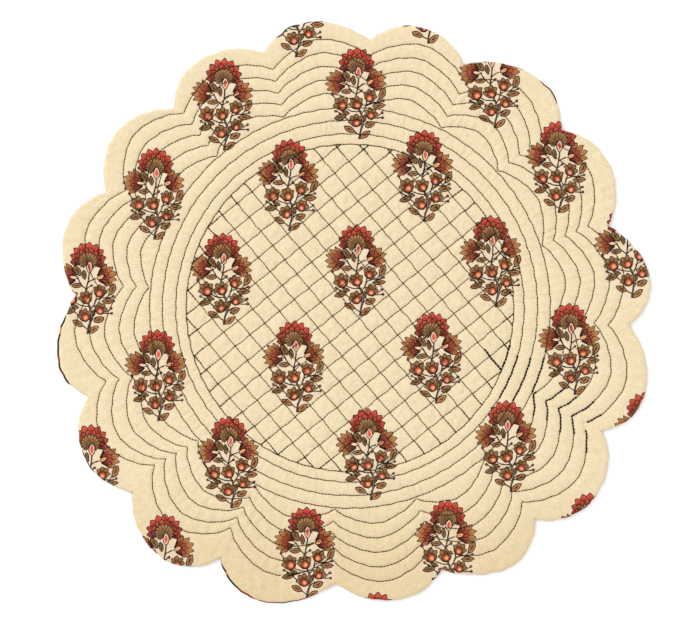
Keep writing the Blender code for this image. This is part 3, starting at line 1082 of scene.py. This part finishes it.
backing = cloth_piece(
    "backing_cloth", placed(under_plan, under_height), under_faces, backing_cotton(weave)
)
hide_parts("backing")
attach(backing, "root")


# Quilting thread: dark olive-brown cotton, machine-sewn through all layers along every ring,
# echo line and hatch line. Where a line was started again, it was sewn twice and looks black.

STITCH_PITCH = 2.5
STITCH_LENGTH = 2.52
STITCH_SIDES = 5
# A stitch's first point, its rings and its last point: share of the length, width and height
STITCH_SHARES = np.array([0.0, 0.06, 0.3, 0.7, 0.94, 1.0])
STITCH_WIDTHS = np.array([0.0, 0.8, 1.0, 1.0, 0.8, 0.0])
STITCH_LIFTS = np.array([-0.15, 0.02, 0.14, 0.14, 0.02, -0.15])
BORDER_RADIUS = 0.46
HATCH_RADIUS = 0.38
END_RADIUS = 0.5
DOUBLE_RADIUS = 0.86
# How long a run at the ends of a hatch line is sewn darker
END_RUN = 9.0
# Lines sewn twice: row, and from and to in degrees
DOUBLED = [
    (0, 336.5, 345.5), (1, 326.5, 343.0), (2, 329.0, 343.0), (3, 334.0, 344.0),
    (4, 328.5, 334.1), (5, 328.6, 338.0), (6, 328.1, 337.1), (7, 329.5, 337.8),
    (8, 333.2, 335.7), (8, 327.5, 331.5), (8, 256.2, 258.6),
]
# The two families of hatch lines, and the line, counted from 0, whose first end was sewn over
HATCH_NAMES = ("rising_stitches", "falling_stitches")
BLACK_END = (HATCH_NAMES[1], 4)
# Lines with a gap: row, and from and to in degrees
BROKEN = [(8, 331.5, 333.2), (8, 255.0, 256.2)]


def stitch_ends(path, closed):
    """Where each stitch on a line of sewing starts and ends: one on every pitch of its length."""
    if closed:
        path = np.concatenate([path, path[:1]])
    lengths = np.concatenate([[0], np.cumsum(np.linalg.norm(np.diff(path, axis=0), axis=1))])
    count = max(int(lengths[-1] / STITCH_PITCH), 1)
    starts = np.arange(count) * lengths[-1] / count
    places = np.stack([starts, starts + STITCH_LENGTH], axis=1)
    ends = [np.interp(places, lengths, path[:, axis]) for axis in (0, 1)]
    return hand_guided(np.stack(ends, axis=-1))


def thread_piece(name, runs, radius, material):
    """Runs of stitches as short threads that rise out of the cloth and dive back into it.

    Each one is a tube of rings at shares of its length, with their own widths and heights over
    the sewn cloth, and has a point at both ends.
    """
    starts, ends = np.concatenate(runs).transpose(1, 0, 2)
    along = ends - starts
    across = np.stack([-along[:, 1], along[:, 0]], axis=1) / np.linalg.norm(along, axis=1)[:, None]
    turns = np.arange(STITCH_SIDES) * 2 * math.pi / STITCH_SIDES
    rings = []
    for share, width, lift in zip(STITCH_SHARES, STITCH_WIDTHS * radius, SEWN_HEIGHT + STITCH_LIFTS):
        middle = starts + along * share
        for turn in turns[: 1 if width == 0 else None]:
            point = middle + across * width * math.cos(turn)
            rings.append(placed(point, np.full(len(point), lift + width * math.sin(turn))))
    points = np.stack(rings, axis=1).reshape(-1, 3)
    pairs = [(side, (side + 1) % STITCH_SIDES) for side in range(STITCH_SIDES)]
    tube = [(0, 1 + turned, 1 + side) for side, turned in pairs]
    last_ring = len(STITCH_SHARES) - 3
    for ring in range(last_ring):
        near = 1 + ring * STITCH_SIDES
        far = near + STITCH_SIDES
        tube += [(near + side, near + turned, far + turned, far + side) for side, turned in pairs]
    last = 1 + last_ring * STITCH_SIDES
    tube += [(last + side, last + turned, last + STITCH_SIDES) for side, turned in pairs]
    size = len(rings)
    faces = [
        tuple(corner + size * number for corner in face)
        for number in range(len(along))
        for face in tube
    ]
    return cloth_piece(name, points, faces, material)


def thread_cotton(name, colour, light):
    """Twisted cotton thread: darker and lighter bands wind along it."""
    material, tree, shader, place = new_material(name, {"Roughness": 0.85, "Specular IOR Level": 0.1})
    twist = place.made(
        "TexWave", {"Vector": place, "Scale": 900.0, "Distortion": 2.0}, bands_direction="DIAGONAL"
    )
    tree.links.new(twist.blend(colour, light).socket, shader.inputs["Base Color"])
    return material


def in_spans(degrees, row, spans):
    """Which directions lie in one of a row's spans."""
    found = np.zeros(len(degrees), bool)
    for span_row, start, end in spans:
        if span_row == row:
            found |= (degrees - start) % 360 < end - start
    return found


FINE_SHARES = np.arange(120) / 120
# Places along a hatch line, in tenths of a millimetre, to find where it crosses ring 1
HATCH_PROBE = np.linspace(-130, 130, 2601)
thread = thread_cotton("quilting_thread", shade(54, 40, 12), shade(78, 58, 22))
double_thread = thread_cotton("doubled_thread", shade(26, 16, 8), shade(40, 28, 13))
threads = []
doubled_runs, end_runs = [], []
ring_rows = range(OUTER_RING + 1)
echo_rows = range(OUTER_RING + 1, LAST_ECHO + 1)
for name, rows in (("ring_stitches", ring_rows), ("echo_stitches", echo_rows)):
    runs = []
    for row in rows:
        stitches = stitch_ends(border_row(row, FINE_SHARES), True)
        degrees = directions(stitches[:, 0])
        doubled = in_spans(degrees, row, DOUBLED)
        runs.append(stitches[~doubled & ~in_spans(degrees, row, BROKEN)])
        doubled_runs.append(stitches[doubled])
    threads.append(thread_piece(name, runs, BORDER_RADIUS, thread))

end_count = round(END_RUN / STITCH_PITCH)
for name, degrees, offsets in zip(HATCH_NAMES, HATCH_DEGREES, HATCH_OFFSETS):
    along, across = polar(degrees, 1.0), polar(degrees + 90, 1.0)
    runs = []
    for number, offset in enumerate(offsets):
        line = along * HATCH_PROBE[:, None] + across * offset
        line = line[from_inner_ring(line) > 0]
        stitches = stitch_ends(line[[0, -1]], False)
        order = np.arange(len(stitches))
        at_end = (order < end_count) | (order >= len(stitches) - end_count)
        if (name, number) == BLACK_END:
            doubled_runs.append(stitches[:end_count * 2])
            at_end[:end_count * 2] = False
        runs.append(stitches[~at_end])
        end_runs.append(stitches[at_end])
    threads.append(thread_piece(name, runs, HATCH_RADIUS, thread))

threads.append(thread_piece("doubled_stitches", doubled_runs, DOUBLE_RADIUS, double_thread))
threads.append(thread_piece("end_stitches", end_runs, END_RADIUS, double_thread))
for piece in threads:
    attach(piece, "root")


low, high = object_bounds()
